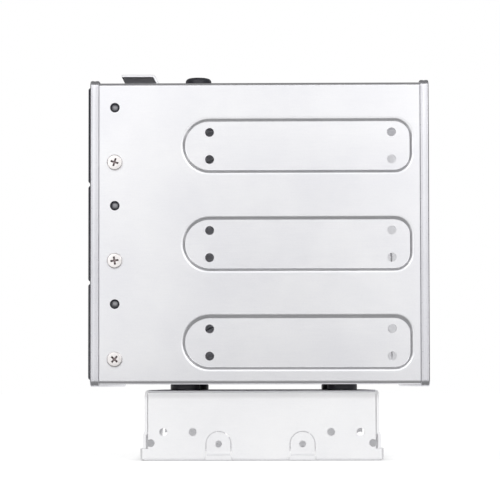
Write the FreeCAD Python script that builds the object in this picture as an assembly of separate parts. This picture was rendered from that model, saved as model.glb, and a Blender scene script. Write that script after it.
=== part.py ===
"""Three-bay drive cage of folded steel sheet, standing on a rubber-mounted pedestal.

Millimetres. The front, with its black bay covers, faces -X, the side panels face -Y and +Y, and Z is up.
The origin is on the ground, under the middle of the whole cage.
"""

import FreeCAD
import Part
import math
import os
from FreeCAD import Placement, Rotation, Vector

# Device bays: half-height 5.25 inch devices, one above the other
bay_names = ("lower", "middle", "upper")
bay_pitch = 42.85
device_width = 146.05
device_head_room = 1.55
device_hole_height = 10.0
device_hole_rise = 11.84
device_hole_run = 79.25
device_hole_radius = 1.95
device_hole_setback = 51.9
device_side_gap = 0.275
device_floor_gap = 0.2
device_roof_gap = 1.15

# Wrap: sides, roof and two inward floor flanges from one sheet
wrap_length = 145.3
wrap_sheet = 1.0
wrap_bend = 0.6
floor_flange = 32.0

# Recesses pressed into the sides round the device screw holes
recess_depth = 1.2
recess_slope = 0.9
recess_margin = 5.65
recess_tail = 8.75
recess_tail_radius = 7.6
recess_edge_round = 2.1
recess_corner_round = 0.4

# Hooks lanced up out of the roof
hook_setback = 13.1
hook_length = 14.1
hook_width = 20.0
hook_rise = 3.8
hook_lean = 2.4
hook_edge = 8.0
hook_bend = 0.8
hook_slit = 0.5
hook_root = 3.0
hook_round = 0.2

# Rubber bumpers on the roof, each with a spigot that fills its hole
bumper_setback = 46.5
bumper_edge = 18.0
bumper_radius = 5.7
bumper_height = 4.4
bumper_round = 1.5
bumper_spigot_radius = 2.6
bumper_spigot_inset = 0.1
bumper_fit = 0.05

# Floor plate, laid on the wrap's flanges
floor_sheet = 1.0
floor_setback = 7.5
floor_end_gap = 0.5
floor_side_gap = 0.1

# End frames, drawn rings that cap the wrap's two ends
frame_sheet = 1.0
frame_lip = 3.0
frame_fit = 0.05
frame_sight = 0.3
frame_round = 0.7
frame_groove_width = 1.4
frame_groove_depth = 0.15

# Bay covers: shallow pans with an ear on each side
cover_sheet = 1.0
cover_bend = 0.2
cover_stand = 1.0
cover_gap = 0.9
cover_return = 6.0
cover_hole_setback = 10.7
cover_hole_spread = 12.0
cover_hole_radius = 2.1
ear_margin = 5.8
ear_corner = 3.0
burr_height = 1.2
burr_wall = 0.9
peg_fit = 0.2
peg_rise = 0.8

# Screws
thread_radius = 1.45
thread_fit = 0.05
thread_tip = 0.5
cross_length = 3.6
cross_width = 0.8
cross_depth = 0.9
cover_screw_length = 6.0
cover_screw_head_radius = 3.35
cover_screw_head_height = 1.6
cover_screw_head_round = 1.0
cover_screw_turns = {"lower": 42.0, "middle": 12.0, "upper": 22.0}

# Rubber grommets and their shoulder screws, between the cage and the pedestal
grommet_radius = 6.6
grommet_bore = 2.0
grommet_neck_radius = 4.2
grommet_pad = 2.5
grommet_lower = 2.0
grommet_round = 0.5
grommet_fit = 0.05
grommet_end_inset = 16.6
grommet_wall_inset = 12.0
grommet_shift = 0.8
shoulder_fit = 0.1
shoulder_head_radius = 4.6
shoulder_head_height = 2.0
shoulder_head_round = 0.8
shoulder_thread_inset = 0.2

# Pedestal: an upturned box folded from one sheet
pedestal_height = 30.9
pedestal_length = 102.8
pedestal_inset = 9.5
pedestal_sheet = 1.2
pedestal_bend = 0.3
pedestal_shift = 0.8
foot_flange = 10.0
wall_corner_gap = 0.4
corner_relief_drop = 2.2
corner_relief_depth = 4.0
corner_hole_radius = 1.7
corner_hole_height = 7.7
corner_hole_inset = 1.15
wall_hole_radius = 1.75
wall_hole_height = 12.5
wall_hole_tab_gap = 11.9
wall_hole_end_inset = 8.2
joggle_step = 0.65
joggle_run = 1.2
band_height = 5.2
lap_gap = 0.1
lap_ear_length = 14.0
lap_ear_trim = 0.6

# Fixing tabs, lanced out of the pedestal's long walls and stepped outward
tab_width = 10.6
tab_spread = 18.4
tab_shift = -0.6
tab_hole_height = 7.3
tab_slit = 0.35
tab_root_height = 2.1
tab_step = 0.8
tab_step_run = 0.8
tab_foot_margin = 0.75
tab_foot_height = 0.3

# Worked out from the values above
overshoot = 1.0
bay_count = len(bay_names)
device_height = bay_pitch - device_head_room
inner_width = device_width + 2 * (device_side_gap + recess_depth)
outer_width = inner_width + 2 * wrap_sheet
half_width = outer_width / 2
stack_height = device_floor_gap + (bay_count - 1) * bay_pitch + device_height + device_roof_gap
outer_height = 2 * wrap_sheet + floor_sheet + stack_height
wrap_round = wrap_bend + wrap_sheet
cage_bottom = pedestal_height + grommet_pad
cage_top = cage_bottom + outer_height
overall_length = cover_stand + 2 * frame_sheet + wrap_length
front_face = cover_stand - overall_length / 2
wrap_front = front_face + frame_sheet
wrap_rear = wrap_front + wrap_length
rear_face = wrap_rear + frame_sheet
pedestal_middle = (front_face + rear_face) / 2 + pedestal_shift
device_hole_x = front_face + device_hole_setback
cover_hole_x = front_face + cover_hole_setback
tapped_radius = thread_radius + thread_fit
peg_radius = cover_hole_radius - peg_fit
pedestal_depth = outer_width - 2 * pedestal_inset
half_depth = pedestal_depth / 2
pedestal_skin = pedestal_sheet / 2
pedestal_fold = pedestal_bend + pedestal_sheet
wall_line = half_depth - pedestal_skin
wall_half_length = pedestal_length / 2 - pedestal_sheet - wall_corner_gap
tab_top = tab_hole_height + tab_width / 2
wall_hole_spreads = (tab_spread + wall_hole_tab_gap, pedestal_length / 2 - wall_hole_end_inset)
grommet_middle = pedestal_middle + grommet_shift
grommet_spread_x = pedestal_length / 2 - grommet_end_inset
grommet_spread_y = half_depth - grommet_wall_inset


def device_floor(bay):
    """Height of the underside of the device in one bay, counted from 0 at the bottom."""
    return cage_bottom + wrap_sheet + floor_sheet + device_floor_gap + bay * bay_pitch


def device_middle(bay):
    """Height of the middle of the device in one bay."""
    return device_floor(bay) + device_height / 2


def block(x0, x1, y0, y1, z0, z1):
    """A plain box between two corners, given in any order."""
    low = Vector(min(x0, x1), min(y0, y1), min(z0, z1))
    return Part.makeBox(abs(x1 - x0), abs(y1 - y0), abs(z1 - z0), low)


def edges_at_x(shape, x):
    """The edges of a shape that lie in one plane across X."""
    return [edge for edge in shape.Edges if all(abs(vertex.X - x) < 1e-6 for vertex in edge.Vertexes)]


def edges_at_y(shape, y):
    """The edges of a shape that lie in one plane across Y."""
    return [edge for edge in shape.Edges if all(abs(vertex.Y - y) < 1e-6 for vertex in edge.Vertexes)]


def end_outline(shape, x):
    """The outline of a shape's flat end at one X."""
    return Part.Wire(Part.__sortEdges__(edges_at_x(shape, x)))


def rounded_bar(x0, x1, half_y, z0, z1, radius):
    """A bar along X, centred on Y, with its four long edges rounded."""
    bar = block(x0, x1, -half_y, half_y, z0, z1)
    long_edges = [edge for edge in bar.Edges if abs(edge.tangentAt(edge.FirstParameter).x) > 0.9]
    return bar.makeFillet(radius, long_edges)


def along_y(radius, x, z, y0, y1):
    """A cylinder along Y."""
    return Part.makeCylinder(radius, y1 - y0, Vector(x, y0, z), Vector(0, 1, 0))


def upright(radius, x, y, z0, z1):
    """A cylinder along Z."""
    return Part.makeCylinder(radius, z1 - z0, Vector(x, y, z0), Vector(0, 0, 1))


def both_sides(shape):
    """A shape and its mirror image across the middle plane of the cage."""
    return [shape, shape.mirror(Vector(0, 0, 0), Vector(0, 1, 0))]


def sheet_face(path, shift, fold_radius):
    """Edges along one face of a folded sheet: its centre line moved sideways, with an arc at each fold."""
    edges = []
    here = None
    for before, corner, after in zip(path, path[1:], path[2:]):
        run_in = (corner - before).normalize()
        run_out = (after - corner).normalize()
        side_in = Vector(-run_in.y, run_in.x, 0)
        side_out = Vector(-run_out.y, run_out.x, 0)
        turn = math.atan2(run_in.cross(run_out).z, run_in.dot(run_out))
        hand = math.copysign(1.0, turn)
        tangent_length = fold_radius * math.tan(abs(turn) / 2)
        pivot = corner - run_in * tangent_length + side_in * (hand * fold_radius)
        reach = shift - hand * fold_radius
        start = pivot + side_in * reach
        middle = pivot + (side_in + side_out).normalize() * reach
        end = pivot + side_out * reach
        if here is None:
            here = before + side_in * shift
        edges.append(Part.LineSegment(here, start).toShape())
        edges.append(Part.Arc(start, middle, end).toShape())
        here = end
    edges.append(Part.LineSegment(here, path[-1] + side_out * shift).toShape())
    return edges


def folded_sheet(points, sheet, bend, width):
    """A sheet folded along a centre line in the XY plane, centred on Z. bend is the inside radius."""
    path = [Vector(u, v, 0) for u, v in points]
    left = sheet_face(path, sheet / 2, bend + sheet / 2)
    right = sheet_face(path, -sheet / 2, bend + sheet / 2)
    ends = [
        Part.LineSegment(left[0].Vertexes[0].Point, right[0].Vertexes[0].Point).toShape(),
        Part.LineSegment(left[-1].Vertexes[-1].Point, right[-1].Vertexes[-1].Point).toShape(),
    ]
    outline = Part.Wire(Part.__sortEdges__(left + right + ends))
    strip = Part.Face(outline).extrude(Vector(0, 0, width))
    strip.translate(Vector(0, 0, -width / 2))
    return strip


def folded_across(points, sheet, bend, width, middle_x):
    """A folded sheet whose centre line is given as (y, z) and whose width runs along X."""
    strip = folded_sheet(points, sheet, bend, width)
    strip.Placement = Placement(Vector(middle_x, 0, 0), Rotation(Vector(1, 1, 1), 120)) * strip.Placement
    return strip


def folded_along(points, sheet, bend, width, middle_y):
    """A folded sheet whose centre line is given as (x, z) and whose width runs along Y."""
    strip = folded_sheet(points, sheet, bend, width)
    strip.Placement = Placement(Vector(0, middle_y, 0), Rotation(Vector(1, 0, 0), 90)) * strip.Placement
    return strip


def turned(profile):
    """A solid turned about Z from (radius, height) points."""
    points = [Vector(radius, 0, height) for radius, height in profile]
    outline = Part.makePolygon(points + points[:1])
    return Part.Face(outline).revolve(Vector(0, 0, 0), Vector(0, 0, 1), 360)


def soften(shape, radius, rims):
    """Round the circular edges of a turned piece that lie at the given (radius, height) pairs."""
    edges = []
    for edge in shape.Edges:
        if isinstance(edge.Curve, Part.Circle):
            place = (edge.Curve.Radius, edge.Curve.Center.z)
            if any(math.dist(place, rim) < 1e-6 for rim in rims):
                edges.append(edge)
    return shape.makeFillet(radius, edges)


def recess_outline(inset, y, middle_z):
    """Outline of a side recess, round about the front holes and square with round corners at its rear end."""
    half = device_hole_rise / 2 + recess_margin - inset
    front = device_hole_x
    rear = device_hole_x + device_hole_run + recess_tail - inset
    corner = recess_tail_radius - inset
    bulge = corner * (1 - math.sqrt(0.5))

    def at(x, z):
        return Vector(x, y, middle_z + z)

    return Part.Wire([
        Part.LineSegment(at(front, half), at(rear - corner, half)).toShape(),
        Part.Arc(at(rear - corner, half), at(rear - bulge, half - bulge), at(rear, half - corner)).toShape(),
        Part.LineSegment(at(rear, half - corner), at(rear, corner - half)).toShape(),
        Part.Arc(at(rear, corner - half), at(rear - bulge, bulge - half), at(rear - corner, -half)).toShape(),
        Part.LineSegment(at(rear - corner, -half), at(front, -half)).toShape(),
        Part.Arc(at(front, -half), at(front - half, 0), at(front, half)).toShape(),
    ])


def recess_body(grow, y_mouth, middle_z):
    """The tapered body of one recess on the -Y side, grown outward by grow, with its floor edge rounded."""
    y_floor = y_mouth + recess_depth
    body = Part.makeLoft([recess_outline(-grow, y_mouth, middle_z),
                          recess_outline(recess_slope - grow, y_floor, middle_z)], True, True)
    return body.makeFillet(recess_corner_round, edges_at_y(body, y_floor))


def is_recess_rim(edge):
    """True for an edge of a recess where it meets the outer face of a side panel."""
    on_panel = all(abs(abs(vertex.Y) - half_width) < 1e-6 for vertex in edge.Vertexes)
    middle = edge.valueAt((edge.FirstParameter + edge.LastParameter) / 2)
    inside_ends = wrap_front + overshoot < middle.x < wrap_rear - overshoot
    inside_folds = cage_bottom + 2 * wrap_round < middle.z < cage_top - 2 * wrap_round
    return on_panel and inside_ends and inside_folds


def wrap_holes():
    """Holes through both sides, the floor flanges and the roof."""
    holes = []
    for bay in range(bay_count):
        for x in (device_hole_x, device_hole_x + device_hole_run):
            for rise in (0.0, device_hole_rise):
                z = device_floor(bay) + device_hole_height + rise
                holes.append(along_y(device_hole_radius, x, z, -outer_width, outer_width))
        for spread in (-cover_hole_spread, cover_hole_spread):
            z = device_middle(bay) + spread
            holes.append(along_y(cover_hole_radius, cover_hole_x, z, -outer_width, outer_width))
    for x, y in grommet_places().values():
        holes.append(upright(tapped_radius, x, y, cage_bottom - overshoot,
                             cage_bottom + wrap_sheet + overshoot))
    bumper_hole = upright(bumper_spigot_radius + bumper_fit, front_face + bumper_setback,
                          bumper_edge - half_width, cage_top - wrap_sheet - overshoot, cage_top + overshoot)
    return holes + both_sides(bumper_hole)


def roof_hook():
    """The window in the roof and the hook bent up out of it, on the -Y side."""
    near = hook_edge - half_width
    tip = front_face + hook_setback
    knee = tip + hook_length
    foot = knee + hook_lean
    roof_line = cage_top - wrap_sheet / 2
    hook_line = cage_top + hook_rise + wrap_sheet / 2
    developed = hook_length + math.hypot(hook_lean, hook_line - roof_line)
    window = block(foot - developed - hook_slit, foot + hook_slit, near - hook_slit,
                   near + hook_width + hook_slit, cage_top - wrap_sheet - overshoot, cage_top + overshoot)
    path = [(foot + hook_root, roof_line), (foot, roof_line), (knee, hook_line), (tip, hook_line)]
    hook = folded_along(path, wrap_sheet, hook_bend, hook_width, near + hook_width / 2)
    for side in (near, near + hook_width):
        hook = hook.makeFillet(hook_round, edges_at_y(hook, side))
    return window, hook


def cage_wrap():
    """Sides, roof and floor flanges, with the recesses, hooks and holes."""
    wrap = rounded_bar(wrap_front, wrap_rear, half_width, cage_bottom, cage_top, wrap_round)
    wrap = wrap.cut(rounded_bar(wrap_front - overshoot, wrap_rear + overshoot, half_width - wrap_sheet,
                                cage_bottom + wrap_sheet, cage_top - wrap_sheet, wrap_bend))
    flange_end = half_width - floor_flange
    wrap = wrap.cut(block(wrap_front - overshoot, wrap_rear + overshoot, -flange_end, flange_end,
                          cage_bottom - overshoot, cage_bottom + wrap_round))

    slope_angle = math.atan2(recess_depth, recess_slope)
    inner_grow = wrap_sheet * math.tan(slope_angle / 2)
    bosses = []
    hollows = []
    for bay in range(bay_count):
        middle_z = device_floor(bay) + device_hole_height + device_hole_rise / 2
        bosses += both_sides(recess_body(inner_grow, wrap_sheet - half_width, middle_z))
        hollows += both_sides(recess_body(0.0, -half_width, middle_z))
    wrap = wrap.fuse(bosses).cut(hollows)
    wrap = wrap.makeFillet(recess_edge_round, [edge for edge in wrap.Edges if is_recess_rim(edge)])

    window, hook = roof_hook()
    wrap = wrap.cut(wrap_holes() + both_sides(window))
    return wrap.fuse(both_sides(hook)).removeSplitter()


def floor_plate():
    """Flat plate that closes the cage's floor, lying on the wrap's flanges."""
    half = inner_width / 2 - wrap_bend - floor_side_gap
    low = cage_bottom + wrap_sheet
    plate = block(wrap_front + floor_setback, wrap_rear - floor_end_gap, -half, half, low, low + floor_sheet)
    holes = [upright(tapped_radius, x, y, low - overshoot, low + floor_sheet + overshoot)
             for x, y in grommet_places().values()]
    return plate.cut(holes)


def end_frame(face, inward):
    """Drawn ring over one end of the wrap, with its outer face at one X. inward is 1 in front, -1 behind."""
    seat = face + inward * frame_sheet
    back = seat + inward * frame_lip

    def bar(x0, x1, grow):
        reach = frame_fit + grow
        return rounded_bar(x0, x1, half_width + reach, cage_bottom - reach, cage_top + reach,
                           wrap_round + reach)

    def taper(x0, grow0, x1, grow1):
        return Part.makeLoft([end_outline(bar(x0, x1, grow0), x0), end_outline(bar(x0, x1, grow1), x1)],
                             True, True)

    frame = bar(face, back, frame_sheet)
    frame = frame.makeFillet(frame_round, edges_at_x(frame, face) + edges_at_x(frame, back))
    frame = frame.cut(bar(seat, back + inward * overshoot, 0.0))
    frame = frame.cut(bar(face - inward * overshoot, back, frame_sight - wrap_sheet - frame_fit))
    middle = (face + back) / 2
    start = middle - frame_groove_width / 2
    end = middle + frame_groove_width / 2
    valley = frame_sheet - frame_groove_depth
    groove = bar(start, end, frame_sheet + overshoot)
    return frame.cut(groove.cut([taper(start, frame_sheet, middle, valley),
                                 taper(middle, valley, end, frame_sheet)]))


def cover_pan(bay, x0, x1, inset, radius):
    """The outside or inside of a cover's pan: a box with all edges round but those at its open back."""
    half_y = inner_width / 2 - inset
    half_z = (bay_pitch - cover_gap) / 2 - inset
    middle = device_middle(bay)
    pan = block(x0, x1, -half_y, half_y, middle - half_z, middle + half_z)
    back_edges = edges_at_x(pan, x1)
    return pan.makeFillet(radius, [edge for edge in pan.Edges
                                   if not any(edge.isSame(other) for other in back_edges)])


def cover_ear(bay):
    """The ear on a cover's -Y side: a collared tapped hole, and a pressed peg that locates in the wall above."""
    outer = -inner_width / 2
    inner = outer + cover_sheet
    collar_end = inner + burr_height
    middle = device_middle(bay)
    start = front_face + cover_return / 2
    end = cover_hole_x + ear_margin
    half = cover_hole_spread + ear_margin
    ear = block(start, end, outer, inner, middle - half, middle + half)
    ear = ear.makeFillet(ear_corner, [edge for edge in edges_at_x(ear, end)
                                      if abs(edge.tangentAt(edge.FirstParameter).y) > 0.9])
    screw_z = middle - cover_hole_spread
    collar = along_y(tapped_radius + burr_wall, cover_hole_x, screw_z, outer, collar_end)
    hole = along_y(tapped_radius, cover_hole_x, screw_z, outer - overshoot, collar_end + overshoot)
    dome_radius = (peg_radius ** 2 + peg_rise ** 2) / (2 * peg_rise)
    dome_centre = Vector(cover_hole_x, outer - peg_rise + dome_radius, middle + cover_hole_spread)
    dome = Part.makeSphere(dome_radius, dome_centre)
    dome = dome.common(block(start, end, outer - overshoot, (outer + inner) / 2, middle, middle + half))
    hollow = Part.makeSphere(dome_radius - cover_sheet, dome_centre)
    return ear.fuse([collar, dome]).cut([hole, hollow])


def bay_cover(bay):
    """Black pan over one bay's mouth, with an ear on each side that the cover screws pull to the wall."""
    front = front_face - cover_stand
    back = front_face + cover_return
    pan = cover_pan(bay, front, back, 0.0, cover_bend + cover_sheet)
    pan = pan.cut(cover_pan(bay, front + cover_sheet, back + overshoot, cover_sheet, cover_bend))
    return pan.fuse(both_sides(cover_ear(bay))).removeSplitter()


def pan_head_screw(thread_length, head_radius, head_height, head_round, turn):
    """Cross-recessed pan-head screw along Z, its head's underside at 0 and its thread below."""
    screw = turned([
        (0.0, -thread_length),
        (thread_radius - thread_tip, -thread_length),
        (thread_radius, thread_tip - thread_length),
        (thread_radius, 0.0),
        (head_radius, 0.0),
        (head_radius, head_height),
        (0.0, head_height),
    ])
    screw = soften(screw, head_round, [(head_radius, head_height)])
    for angle in (turn, turn + 90.0):
        arm = block(-cross_length / 2, cross_length / 2, -cross_width / 2, cross_width / 2,
                    head_height - cross_depth, head_height + overshoot)
        arm.rotate(Vector(0, 0, 0), Vector(0, 0, 1), angle)
        screw = screw.cut(arm)
    return screw


def cover_screws():
    """One screw through each side wall into the lower hole of each cover's ear."""
    screws = []
    for bay, name in enumerate(bay_names):
        screw = pan_head_screw(cover_screw_length, cover_screw_head_radius, cover_screw_head_height,
                               cover_screw_head_round, cover_screw_turns[name])
        screw.rotate(Vector(0, 0, 0), Vector(1, 0, 0), 90)
        screw.translate(Vector(cover_hole_x, -half_width, device_middle(bay) - cover_hole_spread))
        screws += both_sides(screw)
    return Part.makeCompound(screws)


def roof_bumper(y):
    """Rubber bumper seated on the roof, its spigot flush inside the roof's hole."""
    spigot_end = bumper_spigot_inset - wrap_sheet
    bumper = turned([
        (0.0, spigot_end),
        (bumper_spigot_radius, spigot_end),
        (bumper_spigot_radius, 0.0),
        (bumper_radius, 0.0),
        (bumper_radius, bumper_height),
        (0.0, bumper_height),
    ])
    bumper = soften(bumper, bumper_round, [(bumper_radius, bumper_height)])
    bumper.translate(Vector(front_face + bumper_setback, y, cage_top))
    return bumper


def grommet_places():
    """The four grommets' names and places."""
    return {
        f"grommet_{end}_{side}": (grommet_middle + along * grommet_spread_x, across * grommet_spread_y)
        for end, along in (("front", -1), ("rear", 1))
        for side, across in (("near", -1), ("far", 1))
    }


def grommet(x, y):
    """Rubber grommet held in the pedestal's roof: a pad above, a neck in the hole and a flange below."""
    top = cage_bottom
    seat = pedestal_height
    under = seat - pedestal_sheet
    low = under - grommet_lower
    ring = turned([
        (grommet_bore, low),
        (grommet_radius, low),
        (grommet_radius, under),
        (grommet_neck_radius, under),
        (grommet_neck_radius, seat),
        (grommet_radius, seat),
        (grommet_radius, top),
        (grommet_bore, top),
    ])
    ring = soften(ring, grommet_round, [(grommet_radius, height) for height in (low, under, seat, top)])
    ring.translate(Vector(x, y, 0))
    return ring


def grommet_screws():
    """Shoulder screws up through the grommets, threaded through the cage's floor and ending under its top."""
    head_top = pedestal_height - pedestal_sheet - grommet_lower
    shoulder_length = cage_bottom - head_top
    thread_length = shoulder_length + wrap_sheet + floor_sheet - shoulder_thread_inset
    screws = []
    for x, y in grommet_places().values():
        screw = pan_head_screw(thread_length, shoulder_head_radius, shoulder_head_height,
                               shoulder_head_round, 0.0)
        screw = screw.fuse(upright(grommet_bore - shoulder_fit, 0.0, 0.0, -shoulder_length, 0.0))
        screw.rotate(Vector(0, 0, 0), Vector(1, 0, 0), 180)
        screw.translate(Vector(x, y, head_top))
        screws.append(screw)
    return Part.makeCompound(screws)


def pedestal_end_wall(hand):
    """One end wall, joggled outward at its foot. Its edges reach the long walls' faces above their bands."""
    upper = pedestal_middle + hand * (pedestal_length / 2 - pedestal_skin)
    lower = upper + hand * joggle_step
    low = pedestal_sheet + lap_gap
    path = [(lower, low), (lower, tab_top - joggle_run), (upper, tab_top)]
    roof = pedestal_height - pedestal_skin
    hung = folded_along(path + [(upper, roof), (pedestal_middle, roof)], pedestal_sheet, pedestal_bend,
                        2 * (half_depth - corner_relief_depth), 0.0)
    cheeks = folded_along(path + [(upper, pedestal_height - corner_relief_drop)], pedestal_sheet,
                          pedestal_bend, pedestal_depth, 0.0)
    under_band = block(upper - hand * pedestal_sheet, lower + hand * pedestal_sheet, -half_depth - overshoot,
                       pedestal_sheet + lap_gap - half_depth, 0.0, band_height + lap_gap)
    return hung.fuse(cheeks).cut(both_sides(under_band))


def pedestal_band(band_half_length, ear_line):
    """The -Y wall's lower band: its turned-in foot, and its two ears that lap round the end walls."""
    band = folded_across([(foot_flange - half_depth, pedestal_skin), (-wall_line, pedestal_skin),
                          (-wall_line, band_height)],
                         pedestal_sheet, pedestal_bend, 2 * band_half_length, pedestal_middle)
    ears = []
    for hand in (-1, 1):
        outer = pedestal_middle + hand * ear_line
        inner = pedestal_middle + hand * (band_half_length - lap_gap)
        ear = folded_sheet([(outer, lap_ear_length - wall_line), (outer, -wall_line), (inner, -wall_line)],
                           pedestal_sheet, pedestal_bend, band_height - lap_ear_trim)
        ear.translate(Vector(0, 0, (band_height + lap_ear_trim) / 2))
        ears.append(ear)
    return band.fuse(ears)


def fixing_tab(middle):
    """A tab of the -Y wall at one X: the cut that frees it, and the stepped tab with its foot."""
    half = tab_width / 2
    front = -half_depth - tab_step
    back = pedestal_sheet - half_depth
    freed = half + tab_slit
    cut = block(middle - freed, middle + freed, front, back, tab_root_height, tab_hole_height)
    cut = cut.fuse(along_y(freed, middle, tab_hole_height, front, back))
    foot_cut = block(middle - half - tab_foot_margin, middle + half + tab_foot_margin, front,
                     pedestal_fold - half_depth, -overshoot, pedestal_fold)

    foot_half = half + tab_foot_margin - tab_slit
    foot = block(middle - foot_half, middle + foot_half, -half_depth, back, tab_foot_height, tab_root_height)
    step_line = -wall_line - tab_step
    step_low = tab_root_height + tab_slit
    tab = folded_across([(-wall_line, tab_root_height - pedestal_skin), (-wall_line, step_low),
                         (step_line, step_low + tab_step_run), (step_line, tab_top)],
                        pedestal_sheet, pedestal_bend, tab_width, middle)
    beside_arch = block(middle - tab_width, middle + tab_width, front, back, tab_hole_height,
                        tab_top + overshoot)
    beside_arch = beside_arch.cut(along_y(half, middle, tab_hole_height, front - overshoot, back + overshoot))
    hole = along_y(tapped_radius, middle, tab_hole_height, front - overshoot, back + overshoot)
    return cut.fuse(foot_cut), foot.fuse(tab.cut([beside_arch, hole]))


def pedestal():
    """Upturned box from one sheet: roof, long walls with banded feet and fixing tabs, and end walls."""
    roof = pedestal_height - pedestal_skin
    shell = folded_across([(-wall_line, band_height / 2), (-wall_line, roof), (wall_line, roof),
                           (wall_line, band_height / 2)],
                          pedestal_sheet, pedestal_bend, 2 * wall_half_length, pedestal_middle)
    ear_line = pedestal_length / 2 + joggle_step + lap_gap + pedestal_skin
    band = pedestal_band(ear_line - pedestal_skin - pedestal_bend, ear_line)
    shell = shell.fuse([pedestal_end_wall(hand) for hand in (-1, 1)] + both_sides(band))

    cuts = []
    tabs = []
    for hand in (-1, 1):
        for spread in wall_hole_spreads:
            cuts.append(along_y(wall_hole_radius, pedestal_middle + hand * spread, wall_hole_height,
                                -pedestal_depth, pedestal_depth))
        corner_x = pedestal_middle + hand * (wall_half_length - corner_hole_inset)
        corner_hole = along_y(corner_hole_radius, corner_x, corner_hole_height, -half_depth - overshoot,
                              pedestal_sheet - half_depth)
        freed, tab = fixing_tab(pedestal_middle + tab_shift + hand * tab_spread)
        cuts += both_sides(corner_hole) + both_sides(freed)
        tabs += both_sides(tab)
    for x, y in grommet_places().values():
        cuts.append(upright(grommet_neck_radius + grommet_fit, x, y, roof - pedestal_sheet,
                            pedestal_height + overshoot))
    return shell.cut(cuts).fuse(tabs).removeSplitter()


def build():
    """Every piece of the cage by name."""
    pieces = {
        "cage_wrap": cage_wrap(),
        "floor_plate": floor_plate(),
        "front_frame": end_frame(front_face, 1),
        "rear_frame": end_frame(rear_face, -1),
        "cover_screws": cover_screws(),
        "roof_bumper_near": roof_bumper(bumper_edge - half_width),
        "roof_bumper_far": roof_bumper(half_width - bumper_edge),
        "grommet_screws": grommet_screws(),
        "pedestal": pedestal(),
    }
    for bay, name in enumerate(bay_names):
        pieces[f"bay_cover_{name}"] = bay_cover(bay)
    for name, (x, y) in grommet_places().items():
        pieces[name] = grommet(x, y)
    return pieces


os.makedirs("parts", exist_ok=True)
for node, shape in build().items():
    shape.exportStep(f"parts/{node}.step")
    print(node, len(shape.Solids), shape.isValid(), round(shape.Volume, 1))
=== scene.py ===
"""Dresses a three-bay drive cage: sheet metal, black covers, rubber and screws, on a white studio floor."""

import math
from collections import namedtuple

import bpy
from bpy.props import FloatProperty, FloatVectorProperty, IntProperty, PointerProperty
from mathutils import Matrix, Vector


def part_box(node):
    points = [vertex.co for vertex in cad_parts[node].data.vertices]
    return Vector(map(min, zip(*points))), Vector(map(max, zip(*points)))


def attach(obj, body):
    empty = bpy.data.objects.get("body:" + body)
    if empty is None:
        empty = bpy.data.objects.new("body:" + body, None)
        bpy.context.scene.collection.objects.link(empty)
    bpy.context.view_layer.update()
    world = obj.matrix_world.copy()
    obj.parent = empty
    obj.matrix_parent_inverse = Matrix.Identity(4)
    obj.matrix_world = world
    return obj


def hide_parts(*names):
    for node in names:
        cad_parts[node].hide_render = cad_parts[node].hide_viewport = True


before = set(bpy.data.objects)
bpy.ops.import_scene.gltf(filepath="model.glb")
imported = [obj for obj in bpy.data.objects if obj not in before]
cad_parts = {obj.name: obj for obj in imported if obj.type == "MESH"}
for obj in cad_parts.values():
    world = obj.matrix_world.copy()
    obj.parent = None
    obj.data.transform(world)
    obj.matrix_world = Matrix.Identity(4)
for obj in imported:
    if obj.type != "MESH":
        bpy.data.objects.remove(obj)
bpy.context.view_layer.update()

bl_info = {
    "name": "Drive cage",
    "version": (1, 0, 0),
    "blender": (4, 5, 0),
    "location": "View3D > Sidebar > Drive cage",
    "description": "Finishes and screws for a sheet-metal drive cage, and the studio it stands in",
    "category": "Object",
}

MILLIMETRE = 0.001
BAYS = ("lower", "middle", "upper")
SIDES = {"near": -1, "far": 1}
BUMPERS = ("roof_bumper_near", "roof_bumper_far")
GROMMETS = ("grommet_front_near", "grommet_front_far", "grommet_rear_near", "grommet_rear_far")

SHEET_ROUGHNESS = 0.33
FRAME_ROUGHNESS = 0.3
PEDESTAL_ROUGHNESS = 0.36
NICKEL_ROUGHNESS = 0.34
RECESS_ROUGHNESS = 0.5

# Each cover screw was tightened until it was firm, so its cross ends up turned its own way
CROSS_TURNS = {"lower": math.radians(42), "middle": math.radians(-9), "upper": math.radians(18)}

# Shares of a screw head's height
RIM_ROUND = 0.33
UNDERSIDE_ROUND = 0.15
CORE_IN_HEAD = 0.2

# Share of the thread core's radius
TIP_ROUND = 0.3

RIM_SEGMENTS = 6
SMALL_ROUND_SEGMENTS = 2
THREAD_SIDES = 3
SMOOTH_ANGLE = math.radians(32)
WELD_DISTANCE = 0.001 * MILLIMETRE

# The cutter of each arm of the cross stands out of the head by this share of the recess's depth
CROSS_OVERCUT = 0.1
# What is left, along X and Y, of the cutter's size at the bottom of the recess
CROSS_TAPER = (0.5, 0.6, 1.0)

# Sockets of a Mix node that mixes colours
MIX_A = 6
MIX_B = 7
MIX_RESULT = 2

WHITE = (1.0, 1.0, 1.0, 1.0)
FLOOR_SIZE = 12.0
FLOOR_GLOW = 1.2
FLOOR_GLOW_SEEN = 0.7
FLOOR_GLOW_MIRRORED = 0.65
CONTACT_REACH = 8 * MILLIMETRE
CONTACT_SAMPLES = 8

SENSOR_WIDTH = 36.0
NEAREST_SEEN = 0.01
LAMP_AIM = Vector((0.0, 0.0, 0.09))

Lamp = namedtuple("Lamp", "place size")
LAMPS = {
    "key_light": Lamp(place=(-0.55, -1.1, 0.75), size=0.8),
    "fill_light": Lamp(place=(0.6, -1.1, 0.7), size=0.9),
}

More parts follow.
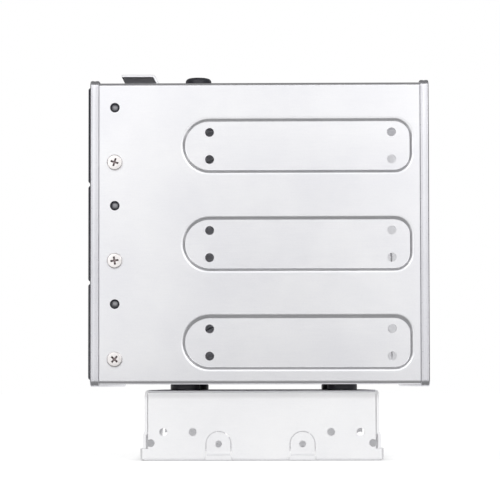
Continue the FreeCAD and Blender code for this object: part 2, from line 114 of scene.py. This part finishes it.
# Flat grey cards give bare metal something dark to reflect, so that its folds and pressed edges show.
# The front card slopes down to the floor before the cage, and the camera card stands behind the camera.
Card = namedtuple("Card", "brightness place turn size")
CARDS = {
    "card_above": Card(0.23, place=(0.0, -0.05, 0.48), turn=(math.pi, 0.0, 0.0), size=(0.8, 0.9)),
    "card_left": Card(0.2, place=(-0.42, -0.1, 0.2), turn=(0.0, math.pi / 2, 0.0), size=(0.5, 0.8)),
    "card_right": Card(0.24, place=(0.42, -0.1, 0.2), turn=(0.0, -math.pi / 2, 0.0), size=(0.5, 0.8)),
    "card_behind": Card(0.08, place=(0.0, 0.5, 0.36), turn=(math.pi / 2, 0.0, 0.0), size=(0.9, 0.4)),
    "card_front": Card(0.27, place=(0.0, -0.1739, 0.0135), turn=(math.radians(7.1), 0.0, 0.0),
                       size=(0.5, 0.2042)),
    "card_camera": Card(0.3, place=(0.012, -1.05, 0.095), turn=(-math.pi / 2, 0.0, 0.0), size=(0.22, 0.28)),
}


def linear(hex_colour):
    """Linear RGB of an sRGB colour written as RRGGBB."""
    channels = [int(hex_colour[place:place + 2], 16) / 255 for place in (0, 2, 4)]
    return tuple(value / 12.92 if value <= 0.04045 else ((value + 0.055) / 1.055) ** 2.4
                 for value in channels)


def colour_property(name, description, hex_colour):
    """A colour that the user can change."""
    return FloatVectorProperty(name=name, description=description, subtype="COLOR", size=3, min=0.0, max=1.0,
                               default=linear(hex_colour))


class CageFinishes(bpy.types.PropertyGroup):
    """Colours of the cage's materials."""

    zinc_light: colour_property("Zinc, light", "The cage's zinc plate where it is brightest", "F9F9FB")
    zinc_shade: colour_property("Zinc, shade", "The cage's zinc plate in its duller patches", "F0F0F4")
    # The end frames' two colours are the cage's zinc painted darker: painted shade
    frame_shaded_bright: colour_property("Frames, light", "The end frames' zinc plate at its brightest", "E8E8EC")
    frame_shaded_dull: colour_property("Frames, shade", "The end frames' zinc plate, dulled by drawing", "DADADF")
    # The pedestal's two colours are the cage's zinc painted brighter: painted light
    pedestal_lit_bright: colour_property("Pedestal, light", "The pedestal's brighter zinc plate", "FCFCFD")
    pedestal_lit_dull: colour_property("Pedestal, shade", "The pedestal's zinc plate at its dullest", "F5F5F7")
    paint: colour_property("Cover paint", "The covers' satin black paint", "2C2C35")
    # Bare steel on the pegs' crowns: partly wear, partly a painted highlight for the domes' sheen
    steel_wear_and_sheen: colour_property("Worn steel", "The steel that shows where the paint is worn off", "A6A6AA")
    rubber: colour_property("Rubber", "The bumpers' and grommets' black rubber", "2A2A31")
    nickel: colour_property("Nickel", "The screws' nickel plate", "FFFBFA")
    # The recess colour is the screws' nickel painted darker: painted shade down in the cross recesses
    recess: colour_property("Recess", "The thin, oily plate down in the screws' cross recesses", "A6999A")


class ScrewSizes(bpy.types.PropertyGroup):
    """Sizes of the cross-recessed screws that the frame doesn't give."""

    thread_radius: FloatProperty(name="Thread radius", description="Outer radius of the cover screws' thread",
                                 default=1.45 * MILLIMETRE, unit="LENGTH")
    thread_length: FloatProperty(name="Thread length", description="Length of a cover screw under its head",
                                 default=6.0 * MILLIMETRE, unit="LENGTH")
    thread_pitch: FloatProperty(name="Thread pitch", description="Distance from one thread to the next",
                                default=0.5 * MILLIMETRE, unit="LENGTH")
    thread_depth: FloatProperty(name="Thread depth", description="How far a thread stands out of the core",
                                default=0.28 * MILLIMETRE, unit="LENGTH")
    cross_length: FloatProperty(name="Cross length", description="Length of the cross recess, arm to arm",
                                default=3.7 * MILLIMETRE, unit="LENGTH")
    cross_width: FloatProperty(name="Cross width", description="Width of each arm of the cross recess",
                               default=0.85 * MILLIMETRE, unit="LENGTH")
    cross_depth: FloatProperty(name="Cross depth", description="Depth of the cross recess at its middle",
                               default=1.15 * MILLIMETRE, unit="LENGTH")
    facets: IntProperty(name="Facets", description="Number of sides of a screw's round faces",
                        default=48, min=16, max=128)


class StudioSettings(bpy.types.PropertyGroup):
    """The camera, the lamps and the floor."""

    camera_place: FloatVectorProperty(name="Camera", description="Place of the camera", subtype="TRANSLATION",
                                      size=3, default=(0.007, -0.9135, 0.033))
    camera_tilt: FloatProperty(name="Tilt", description="How far the camera looks up", subtype="ANGLE",
                               default=math.radians(2.033))
    camera_turn: FloatProperty(name="Turn", description="How far the camera looks to the left",
                               subtype="ANGLE", default=math.radians(0.734))
    camera_roll: FloatProperty(name="Roll", description="How far the camera leans to one side",
                               subtype="ANGLE", default=math.radians(0.09))
    camera_rise: FloatProperty(name="Rise", description="Upward shift of the lens, in frame widths",
                               default=0.1330)
    camera_lens: FloatProperty(name="Lens", description="Focal length in millimetres", default=139.2)
    key_power: FloatProperty(name="Key light", description="Power of the soft key light", default=1.95,
                             unit="POWER")
    fill_power: FloatProperty(name="Fill light", description="Power of the soft fill light", default=2.1,
                              unit="POWER")
    room_light: FloatProperty(name="Room light", description="Brightness of the white room round the cage",
                              default=0.75)
    floor: colour_property("Floor", "The pale floor", "FAFAFA")


def add_node(tree, kind, inputs, **settings):
    """Add a shader node, with its settings, and its inputs given as values or as other nodes' outputs."""
    node = tree.nodes.new(kind)
    for name, value in settings.items():
        setattr(node, name, value)
    for name, value in inputs.items():
        if isinstance(value, bpy.types.NodeSocket):
            tree.links.new(value, node.inputs[name])
        else:
            node.inputs[name].default_value = value
    return node


def opaque(colour, strength=1.0):
    """A colour with full alpha, made lighter or darker by a strength."""
    return (*(value * strength for value in colour), 1.0)


def blank_material(name):
    """A material with no nodes yet, and its node tree."""
    material = bpy.data.materials.new(name)
    material.use_nodes = True
    material.node_tree.nodes.clear()
    return material, material.node_tree


def zinc_plated_sheet(name, light, shade, roughness):
    """Electro-galvanised cold-rolled steel: pale, satin, faintly cloudy, with a fine rolled grain along X."""
    cloud_size = 35 * MILLIMETRE
    # The rolled grain is about 0.05 mm wide, too fine to show, so it is drawn 0.5 mm wide and 9 mm long
    grain_length = 9 * MILLIMETRE
    grain_width = 0.5 * MILLIMETRE
    # The plate's crystals are about 0.1 mm across and give it a faint sparkle, drawn at 0.7 mm
    crystal_size = 0.7 * MILLIMETRE
    relief_depth = 0.01 * MILLIMETRE
    streak_weight = 0.3
    gloss_gain = 0.04
    gloss_loss = 0.05

    material, tree = blank_material(name)
    place = add_node(tree, "ShaderNodeTexCoord", {}).outputs["Object"]
    clouds = add_node(tree, "ShaderNodeTexNoise",
                      {"Vector": place, "Scale": 1 / cloud_size, "Detail": 3.0, "Roughness": 0.55})
    stretch = add_node(tree, "ShaderNodeMapping",
                       {"Vector": place, "Scale": (1 / grain_length, 1 / grain_width, 1 / grain_width)})
    grain = add_node(tree, "ShaderNodeTexNoise",
                     {"Vector": stretch.outputs["Vector"], "Scale": 1.0, "Detail": 4.0, "Roughness": 0.6})
    crystals = add_node(tree, "ShaderNodeTexNoise",
                        {"Vector": place, "Scale": 1 / crystal_size, "Detail": 2.0, "Roughness": 0.5})
    streaks = add_node(tree, "ShaderNodeMath",
                       {0: grain.outputs["Fac"], 1: crystals.outputs["Fac"]}, operation="ADD")
    tone = add_node(tree, "ShaderNodeMath",
                    {0: streaks.outputs["Value"], 1: streak_weight, 2: clouds.outputs["Fac"]},
                    operation="MULTIPLY_ADD")
    blend = add_node(tree, "ShaderNodeMapRange",
                     {"Value": tone.outputs["Value"], "From Min": 0.55, "From Max": 1.05})
    colour = add_node(tree, "ShaderNodeMix",
                      {"Factor": blend.outputs["Result"], MIX_A: opaque(shade), MIX_B: opaque(light)},
                      data_type="RGBA")
    gloss = add_node(tree, "ShaderNodeMapRange",
                     {"Value": streaks.outputs["Value"], "From Min": 0.6, "From Max": 1.4,
                      "To Min": roughness - gloss_gain, "To Max": roughness + gloss_loss})
    relief = add_node(tree, "ShaderNodeBump",
                      {"Height": streaks.outputs["Value"], "Strength": 0.12, "Distance": relief_depth})
    shader = add_node(tree, "ShaderNodeBsdfPrincipled",
                      {"Base Color": colour.outputs[MIX_RESULT], "Metallic": 1.0,
                       "Roughness": gloss.outputs["Result"], "Normal": relief.outputs["Normal"]})
    add_node(tree, "ShaderNodeOutputMaterial", {"Surface": shader.outputs["BSDF"]})
    return material


def satin_black_paint(colour, steel, crown):
    """Baked black enamel on steel: softly glossy with a slight orange peel, and bare steel on the pegs'
    crowns as wear and painted highlight.
    """
    peel_size = 0.9 * MILLIMETRE
    handling_size = 22 * MILLIMETRE
    relief_depth = 0.02 * MILLIMETRE
    wear_and_sheen_depth = 0.6 * MILLIMETRE

    material, tree = blank_material("satin_black_paint")
    place = add_node(tree, "ShaderNodeTexCoord", {}).outputs["Object"]
    peel = add_node(tree, "ShaderNodeTexNoise",
                    {"Vector": place, "Scale": 1 / peel_size, "Detail": 2.0, "Roughness": 0.5})
    handling = add_node(tree, "ShaderNodeTexNoise",
                        {"Vector": place, "Scale": 1 / handling_size, "Detail": 4.0, "Roughness": 0.6})
    tint = add_node(tree, "ShaderNodeMix",
                    {"Factor": handling.outputs["Fac"], MIX_A: opaque(colour, strength=0.85),
                     MIX_B: opaque(colour, strength=1.2)}, data_type="RGBA")
    gloss = add_node(tree, "ShaderNodeMapRange",
                     {"Value": handling.outputs["Fac"], "From Min": 0.3, "From Max": 0.7, "To Min": 0.38,
                      "To Max": 0.5})
    relief = add_node(tree, "ShaderNodeBump",
                      {"Height": peel.outputs["Fac"], "Strength": 0.35, "Distance": relief_depth})
    paint = add_node(tree, "ShaderNodeBsdfPrincipled",
                     {"Base Color": tint.outputs[MIX_RESULT], "Roughness": gloss.outputs["Result"],
                      "IOR": 1.5, "Normal": relief.outputs["Normal"]})
    bare = add_node(tree, "ShaderNodeBsdfPrincipled",
                    {"Base Color": opaque(steel), "Metallic": 1.0, "Roughness": 0.4})
    # The pegs' crowns stand furthest out on both sides and show bare steel, partly wear and partly a painted
    # highlight, with a trace of paint kept
    axes = add_node(tree, "ShaderNodeSeparateXYZ", {"Vector": place})
    height = add_node(tree, "ShaderNodeMath", {0: axes.outputs["Y"]}, operation="ABSOLUTE")
    worn = add_node(tree, "ShaderNodeMapRange",
                    {"Value": height.outputs["Value"], "From Min": crown - wear_and_sheen_depth, "From Max": crown,
                     "To Max": 0.85})
    mixed = add_node(tree, "ShaderNodeMixShader",
                     {0: worn.outputs["Result"], 1: paint.outputs["BSDF"], 2: bare.outputs["BSDF"]})
    add_node(tree, "ShaderNodeOutputMaterial", {"Surface": mixed.outputs["Shader"]})
    return material


def moulded_rubber(colour):
    """Black moulded rubber: a dull sheen under a patchy bloom, with the mould's fine texture."""
    bloom_size = 4 * MILLIMETRE
    texture_size = 0.3 * MILLIMETRE
    relief_depth = 0.03 * MILLIMETRE

    material, tree = blank_material("moulded_rubber")
    place = add_node(tree, "ShaderNodeTexCoord", {}).outputs["Object"]
    bloom = add_node(tree, "ShaderNodeTexNoise",
                     {"Vector": place, "Scale": 1 / bloom_size, "Detail": 4.0, "Roughness": 0.65})
    texture = add_node(tree, "ShaderNodeTexNoise",
                       {"Vector": place, "Scale": 1 / texture_size, "Detail": 2.0, "Roughness": 0.5})
    tint = add_node(tree, "ShaderNodeMix",
                    {"Factor": bloom.outputs["Fac"], MIX_A: opaque(colour, strength=0.7),
                     MIX_B: opaque(colour, strength=1.7)}, data_type="RGBA")
    gloss = add_node(tree, "ShaderNodeMapRange",
                     {"Value": bloom.outputs["Fac"], "From Min": 0.3, "From Max": 0.7, "To Min": 0.34,
                      "To Max": 0.5})
    relief = add_node(tree, "ShaderNodeBump",
                      {"Height": texture.outputs["Fac"], "Strength": 0.4, "Distance": relief_depth})
    shader = add_node(tree, "ShaderNodeBsdfPrincipled",
                      {"Base Color": tint.outputs[MIX_RESULT], "Roughness": gloss.outputs["Result"],
                       "IOR": 1.52, "Normal": relief.outputs["Normal"]})
    add_node(tree, "ShaderNodeOutputMaterial", {"Surface": shader.outputs["BSDF"]})
    return material


def barrel_nickel(name, colour, roughness):
    """Barrel-plated nickel: a warm, bright metal, softened by the marks of tumbling with other screws."""
    dent_size = 0.25 * MILLIMETRE
    relief_depth = 0.01 * MILLIMETRE
    gloss_spread = 0.06

    material, tree = blank_material(name)
    place = add_node(tree, "ShaderNodeTexCoord", {}).outputs["Object"]
    dents = add_node(tree, "ShaderNodeTexNoise",
                     {"Vector": place, "Scale": 1 / dent_size, "Detail": 3.0, "Roughness": 0.6})
    tint = add_node(tree, "ShaderNodeMix",
                    {"Factor": dents.outputs["Fac"], MIX_A: opaque(colour, strength=0.95),
                     MIX_B: opaque(colour)}, data_type="RGBA")
    gloss = add_node(tree, "ShaderNodeMapRange",
                     {"Value": dents.outputs["Fac"], "From Min": 0.3, "From Max": 0.7,
                      "To Min": roughness - gloss_spread, "To Max": roughness + gloss_spread})
    relief = add_node(tree, "ShaderNodeBump",
                      {"Height": dents.outputs["Fac"], "Strength": 0.15, "Distance": relief_depth})
    shader = add_node(tree, "ShaderNodeBsdfPrincipled",
                      {"Base Color": tint.outputs[MIX_RESULT], "Metallic": 1.0,
                       "Roughness": gloss.outputs["Result"], "Normal": relief.outputs["Normal"]})
    add_node(tree, "ShaderNodeOutputMaterial", {"Surface": shader.outputs["BSDF"]})
    return material


def dress(node_names, material):
    """Give CAD nodes their material."""
    for name in node_names:
        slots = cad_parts[name].material_slots
        if not slots:
            raise RuntimeError(f"{name} has no material slot")
        for slot in slots:
            slot.material = material


def deselect_all():
    """Leave nothing selected or active."""
    bpy.ops.object.select_all(action="DESELECT")
    bpy.context.view_layer.objects.active = None


def select_only(*pieces):
    """Select these pieces alone, with the first one active."""
    deselect_all()
    for piece in pieces:
        piece.select_set(True)
    bpy.context.view_layer.objects.active = pieces[0]


def delete(piece):
    """Take a helper out of the scene."""
    select_only(piece)
    bpy.ops.object.delete()


def apply_transform():
    """Put the active object's place, turn and scale into its mesh."""
    bpy.ops.object.transform_apply(location=True, rotation=True, scale=True)


def apply_modifier(piece, kind, **settings):
    """Add a modifier to a piece and apply it."""
    select_only(piece)
    modifier = piece.modifiers.new(kind.title(), kind)
    for name, value in settings.items():
        setattr(modifier, name, value)
    bpy.ops.object.modifier_apply(modifier=modifier.name)


def select_edges(piece, test):
    """In edit mode, select the edges of a piece whose two ends pass a test, and nothing else."""
    bpy.ops.mesh.select_mode(type="EDGE")
    bpy.ops.mesh.select_all(action="DESELECT")
    bpy.ops.object.mode_set(mode="OBJECT")
    for edge in piece.data.edges:
        edge.select = all(test(piece.data.vertices[end].co) for end in edge.vertices)
    bpy.ops.object.mode_set(mode="EDIT")


def round_edges(piece, test, size, segments):
    """Round the edges of a piece whose two ends pass a test."""
    bpy.ops.object.mode_set(mode="EDIT")
    select_edges(piece, test)
    bpy.ops.mesh.bevel(offset=size, offset_type="OFFSET", segments=segments, profile=0.5)
    bpy.ops.object.mode_set(mode="OBJECT")


def screw_head(radius, height, sizes, nickel, recess_shade_nickel):
    """A pan head standing on Z = 0: a short cylinder with a rolled rim and a tapered cross recess."""
    middle = height / 2
    deselect_all()
    bpy.ops.mesh.primitive_cylinder_add(vertices=sizes.facets, radius=radius, depth=height,
                                        location=(0, 0, middle))
    head = bpy.context.object
    head.data.materials.append(nickel)
    apply_transform()
    round_edges(head, lambda place: place.z > middle, height * RIM_ROUND, RIM_SEGMENTS)
    round_edges(head, lambda place: place.z < middle, height * UNDERSIDE_ROUND, SMALL_ROUND_SEGMENTS)

    cutter_height = (1 + CROSS_OVERCUT) * sizes.cross_depth
    cutter_middle = height - (1 - CROSS_OVERCUT) / 2 * sizes.cross_depth
    for turn in (0.0, math.pi / 2):
        deselect_all()
        bpy.ops.mesh.primitive_cube_add(size=1.0, location=(0, 0, cutter_middle), rotation=(0, 0, turn))
        arm = bpy.context.object
        # The cutter's darker nickel passes to the recess's faces, as painted shade
        arm.data.materials.append(recess_shade_nickel)
        arm.scale = (sizes.cross_length, sizes.cross_width, cutter_height)
        bpy.ops.object.mode_set(mode="EDIT")
        select_edges(arm, lambda place: place.z < 0)
        bpy.ops.transform.resize(value=CROSS_TAPER, center_override=(0, 0, height - sizes.cross_depth))
        bpy.ops.object.mode_set(mode="OBJECT")
        apply_transform()
        apply_modifier(head, "BOOLEAN", operation="DIFFERENCE", object=arm, solver="EXACT",
                       material_mode="TRANSFER")
        delete(arm)
    if not head.data.polygons:
        raise RuntimeError("The cross recess left nothing of the screw head")
    return head


def screw_thread(radius, low, high, sizes, nickel):
    """A helical thread on a core with a rounded tip, between two heights."""
    core_radius = radius - sizes.thread_depth
    middle = (low + high) / 2
    deselect_all()
    bpy.ops.mesh.primitive_cylinder_add(vertices=sizes.facets, radius=core_radius, depth=high - low,
                                        location=(0, 0, middle))
    core = bpy.context.object
    apply_transform()
    round_edges(core, lambda place: place.z < middle, core_radius * TIP_ROUND, SMALL_ROUND_SEGMENTS)

    # A triangle is wound round the core, with its inner side on the core and its tip at the full radius.
    # Its height is 1.5 times the radius of the circle through its corners, whose centre is a third up.
    deselect_all()
    bpy.ops.mesh.primitive_circle_add(vertices=THREAD_SIDES, radius=sizes.thread_depth / 1.5,
                                      fill_type="NOTHING",
                                      location=(core_radius + sizes.thread_depth / 3, 0,
                                                low + sizes.thread_pitch),
                                      rotation=(math.pi / 2, -math.pi / 6, 0))
    coil = bpy.context.object
    apply_transform()
    # The thread leaves at least a pitch of the core free at each end
    turns = int((high - low) / sizes.thread_pitch) - 2
    apply_modifier(coil, "SCREW", angle=math.tau, screw_offset=sizes.thread_pitch, iterations=turns,
                   steps=sizes.facets // 2, render_steps=sizes.facets // 2)
    bpy.ops.object.mode_set(mode="EDIT")
    bpy.ops.mesh.select_all(action="SELECT")
    bpy.ops.mesh.remove_doubles(threshold=WELD_DISTANCE)
    bpy.ops.mesh.fill_holes(sides=THREAD_SIDES)
    bpy.ops.mesh.normals_make_consistent(inside=False)
    bpy.ops.object.mode_set(mode="OBJECT")
    for piece in (core, coil):
        piece.data.materials.append(nickel)
    return core, coil


def cross_recessed_screw(head_radius, head_height, sizes, nickel, recess_shade_nickel):
    """A whole screw along Z, its head's underside at Z = 0."""
    head = screw_head(head_radius, head_height, sizes, nickel, recess_shade_nickel)
    core, coil = screw_thread(sizes.thread_radius, -sizes.thread_length, head_height * CORE_IN_HEAD, sizes,
                              nickel)
    select_only(head, core, coil)
    bpy.ops.object.join()
    bpy.ops.object.shade_smooth_by_angle(angle=SMOOTH_ANGLE)
    return head


def place_screw(pattern, name, hand, cross_turn, place):
    """Copy a screw, lay it along Y with its head outwards, turn its cross, and put it in its hole."""
    select_only(pattern)
    bpy.ops.object.duplicate()
    screw = bpy.context.object
    screw.name = name
    for turn in ((-hand * math.pi / 2, 0, 0), (0, -hand * cross_turn, 0)):
        screw.rotation_euler = turn
        apply_transform()
    screw.location = place
    apply_transform()
    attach(screw, "root")
    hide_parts("cover_screws")


class CAGE_OT_sheet_metal(bpy.types.Operator):
    """Dress the wrap and floor plate in zinc-plated steel, and the end frames in it painted darker as shade.
    """

    bl_idname = "cage.sheet_metal"
    bl_label = "Sheet metal"

    def execute(self, context):
        finishes = context.scene.cage_finishes
        dress(("cage_wrap", "floor_plate"),
              zinc_plated_sheet("zinc_plated_sheet", finishes.zinc_light, finishes.zinc_shade,
                                SHEET_ROUGHNESS))
        # The end frames get the cage's zinc painted darker, as painted shade
        dress(("front_frame", "rear_frame"),
              zinc_plated_sheet("zinc_plated_frame_shaded", finishes.frame_shaded_bright, finishes.frame_shaded_dull,
                                FRAME_ROUGHNESS))
        return {"FINISHED"}


class CAGE_OT_pedestal(bpy.types.Operator):
    """Dress the pedestal in the cage's zinc-plated steel, painted brighter as painted light."""

    bl_idname = "cage.pedestal"
    bl_label = "Pedestal"

    def execute(self, context):
        finishes = context.scene.cage_finishes
        # The pedestal's zinc is painted brighter than the cage's, as painted light
        dress(("pedestal",),
              zinc_plated_sheet("zinc_plated_pedestal_lit", finishes.pedestal_lit_bright, finishes.pedestal_lit_dull,
                                PEDESTAL_ROUGHNESS))
        return {"FINISHED"}


class CAGE_OT_bay_covers(bpy.types.Operator):
    """Dress the bay covers in black paint."""

    bl_idname = "cage.bay_covers"
    bl_label = "Bay covers"

    def execute(self, context):
        finishes = context.scene.cage_finishes
        covers = [f"bay_cover_{bay}" for bay in BAYS]
        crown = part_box(covers[0])[1].y
        # The pegs' crowns show bare steel, as wear and as a painted highlight
        dress(covers, satin_black_paint(finishes.paint, finishes.steel_wear_and_sheen, crown))
        return {"FINISHED"}


class CAGE_OT_rubber(bpy.types.Operator):
    """Dress the bumpers and the grommets in black rubber."""

    bl_idname = "cage.rubber"
    bl_label = "Rubber"

    def execute(self, context):
        dress(BUMPERS + GROMMETS, moulded_rubber(context.scene.cage_finishes.rubber))
        return {"FINISHED"}


class CAGE_OT_screws(bpy.types.Operator):
    """Model the cover screws, with their crosses and threads, and plate the grommet screws."""

    bl_idname = "cage.screws"
    bl_label = "Screws"

    def execute(self, context):
        sizes = context.scene.cage_screws
        finishes = context.scene.cage_finishes
        nickel = barrel_nickel("barrel_nickel", finishes.nickel, NICKEL_ROUGHNESS)
        # The cross recesses get nickel painted darker, as painted shade
        recess_shade_nickel = barrel_nickel("recess_shade_nickel", finishes.recess, RECESS_ROUGHNESS)
        low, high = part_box("cover_screws")
        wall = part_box("cage_wrap")[1].y
        head_radius = (high.x - low.x) / 2
        pattern = cross_recessed_screw(head_radius, high.y - wall, sizes, nickel, recess_shade_nickel)
        column = (low.x + high.x) / 2
        pitch = (high.z - low.z - 2 * head_radius) / (len(BAYS) - 1)
        for row, bay in enumerate(BAYS):
            height = low.z + head_radius + row * pitch
            for side, hand in SIDES.items():
                place_screw(pattern, f"cover_screw_{bay}_{side}", hand, CROSS_TURNS[bay],
                            (column, hand * wall, height))
        delete(pattern)
        dress(("grommet_screws",), nickel)
        return {"FINISHED"}


def pale_floor(colour):
    """Matt white paper that glows to the eye and in reflections, but not where something stands on it."""
    material, tree = blank_material("pale_floor")
    path = add_node(tree, "ShaderNodeLightPath", {})
    seen = add_node(tree, "ShaderNodeMath",
                    {0: path.outputs["Is Camera Ray"], 1: path.outputs["Is Transmission Ray"]},
                    operation="MAXIMUM")
    mirrored = add_node(tree, "ShaderNodeMath",
                        {0: path.outputs["Is Glossy Ray"], 1: FLOOR_GLOW_MIRRORED}, operation="MULTIPLY")
    share = add_node(tree, "ShaderNodeMath",
                     {0: seen.outputs["Value"], 1: FLOOR_GLOW_SEEN, 2: mirrored.outputs["Value"]},
                     operation="MULTIPLY_ADD")
    # The glow fades close to whatever stands on the floor, which leaves the contact shadow
    contact = add_node(tree, "ShaderNodeAmbientOcclusion", {"Distance": CONTACT_REACH},
                       samples=CONTACT_SAMPLES)
    share = add_node(tree, "ShaderNodeMath",
                     {0: share.outputs["Value"], 1: contact.outputs["AO"]}, operation="MULTIPLY")
    paint = add_node(tree, "ShaderNodeBsdfDiffuse", {"Color": opaque(colour)})
    glow = add_node(tree, "ShaderNodeEmission", {"Color": WHITE, "Strength": FLOOR_GLOW})
    mixed = add_node(tree, "ShaderNodeMixShader",
                     {0: share.outputs["Value"], 1: paint.outputs["BSDF"], 2: glow.outputs["Emission"]})
    add_node(tree, "ShaderNodeOutputMaterial", {"Surface": mixed.outputs["Shader"]})
    return material


def add_floor(colour):
    """The floor that the cage stands on."""
    deselect_all()
    bpy.ops.mesh.primitive_plane_add(size=FLOOR_SIZE, location=(0, 0, 0))
    floor = bpy.context.object
    floor.name = "floor"
    floor.data.materials.append(pale_floor(colour))


def grey_card(name, brightness):
    """Grey board that shows its front alone."""
    material, tree = blank_material(name)
    grey = add_node(tree, "ShaderNodeEmission", {"Color": WHITE, "Strength": brightness})
    clear = add_node(tree, "ShaderNodeBsdfTransparent", {})
    facing = add_node(tree, "ShaderNodeNewGeometry", {})
    shown = add_node(tree, "ShaderNodeMixShader",
                     {0: facing.outputs["Backfacing"], 1: grey.outputs["Emission"], 2: clear.outputs["BSDF"]})
    add_node(tree, "ShaderNodeOutputMaterial", {"Surface": shown.outputs["Shader"]})
    return material


def add_card(name, brightness, place, turn, size):
    """A flat grey card that only reflections see."""
    deselect_all()
    bpy.ops.mesh.primitive_plane_add(size=1.0, location=place, rotation=turn)
    card = bpy.context.object
    card.scale = (*size, 1.0)
    apply_transform()
    card.name = name
    card.data.materials.append(grey_card(name, brightness))
    card.visible_camera = False
    card.visible_diffuse = False
    card.visible_shadow = False
    card.visible_transmission = False


def white_room(brightness):
    """A room that lights the cage evenly, and looks white to the eye and in reflections."""
    world = bpy.data.worlds.new("white_room")
    world.use_nodes = True
    tree = world.node_tree
    tree.nodes.clear()
    path = add_node(tree, "ShaderNodeLightPath", {})
    seen = add_node(tree, "ShaderNodeMath",
                    {0: path.outputs["Is Camera Ray"], 1: path.outputs["Is Glossy Ray"]}, operation="MAXIMUM")
    seen = add_node(tree, "ShaderNodeMath",
                    {0: seen.outputs["Value"], 1: path.outputs["Is Transmission Ray"]}, operation="MAXIMUM")
    lit = add_node(tree, "ShaderNodeBackground", {"Color": WHITE, "Strength": brightness})
    white = add_node(tree, "ShaderNodeBackground", {"Color": WHITE, "Strength": 1.0})
    mixed = add_node(tree, "ShaderNodeMixShader",
                     {0: seen.outputs["Value"], 1: lit.outputs["Background"], 2: white.outputs["Background"]})
    add_node(tree, "ShaderNodeOutputWorld", {"Surface": mixed.outputs["Shader"]})
    return world


def add_lamp(name, power, place, size):
    """A soft square lamp, turned towards the cage."""
    deselect_all()
    bpy.ops.object.light_add(type="AREA", location=place)
    lamp = bpy.context.object
    lamp.name = name
    lamp.data.energy = power
    lamp.data.size = size
    lamp.rotation_euler = (LAMP_AIM - Vector(place)).to_track_quat("-Z", "Y").to_euler()


def add_camera(settings):
    """The camera, straight in front of the near side, with its lens shifted up."""
    deselect_all()
    bpy.ops.object.camera_add(location=settings.camera_place,
                              rotation=(math.pi / 2 + settings.camera_tilt, settings.camera_roll,
                                        settings.camera_turn))
    camera = bpy.context.object
    camera.data.sensor_width = SENSOR_WIDTH
    camera.data.lens = settings.camera_lens
    camera.data.shift_y = settings.camera_rise
    camera.data.clip_start = NEAREST_SEEN
    return camera


class CAGE_OT_studio(bpy.types.Operator):
    """Set up the floor, the cards, the lamps, the white room and the camera."""

    bl_idname = "cage.studio"
    bl_label = "Studio"

    def execute(self, context):
        settings = context.scene.cage_studio
        context.scene.view_settings.view_transform = "Standard"
        add_floor(settings.floor)
        for name, card in CARDS.items():
            add_card(name, *card)
        context.scene.world = white_room(settings.room_light)
        powers = {"key_light": settings.key_power, "fill_light": settings.fill_power}
        for name, lamp in LAMPS.items():
            add_lamp(name, powers[name], *lamp)
        context.scene.camera = add_camera(settings)
        return {"FINISHED"}


class CAGE_PT_panel(bpy.types.Panel):
    """The settings, and the steps that dress the cage in order."""

    bl_idname = "CAGE_PT_panel"
    bl_label = "Drive cage"
    bl_space_type = "VIEW_3D"
    bl_region_type = "UI"
    bl_category = "Drive cage"

    def draw(self, context):
        for group in GROUPS:
            settings = getattr(context.scene, group)
            for name in settings.bl_rna.properties.keys():
                if name not in ("rna_type", "name"):
                    self.layout.prop(settings, name)
        for step in STEPS:
            self.layout.operator(step.bl_idname)


STEPS = (CAGE_OT_sheet_metal, CAGE_OT_pedestal, CAGE_OT_bay_covers, CAGE_OT_rubber, CAGE_OT_screws,
         CAGE_OT_studio)
GROUPS = {"cage_finishes": CageFinishes, "cage_screws": ScrewSizes, "cage_studio": StudioSettings}


def register():
    """Add the settings, the steps and the panel to Blender."""
    for name, group in GROUPS.items():
        bpy.utils.register_class(group)
        setattr(bpy.types.Scene, name, PointerProperty(type=group))
    for step in STEPS:
        bpy.utils.register_class(step)
    bpy.utils.register_class(CAGE_PT_panel)


def unregister():
    """Take them out again."""
    bpy.utils.unregister_class(CAGE_PT_panel)
    for step in reversed(STEPS):
        bpy.utils.unregister_class(step)
    for name, group in GROUPS.items():
        delattr(bpy.types.Scene, name)
        bpy.utils.unregister_class(group)


def main():
    """Dress the cage."""
    register()
    bpy.ops.cage.sheet_metal()
    bpy.ops.cage.pedestal()
    bpy.ops.cage.bay_covers()
    bpy.ops.cage.rubber()
    bpy.ops.cage.screws()
    bpy.ops.cage.studio()


if __name__ == "__main__":
    main()
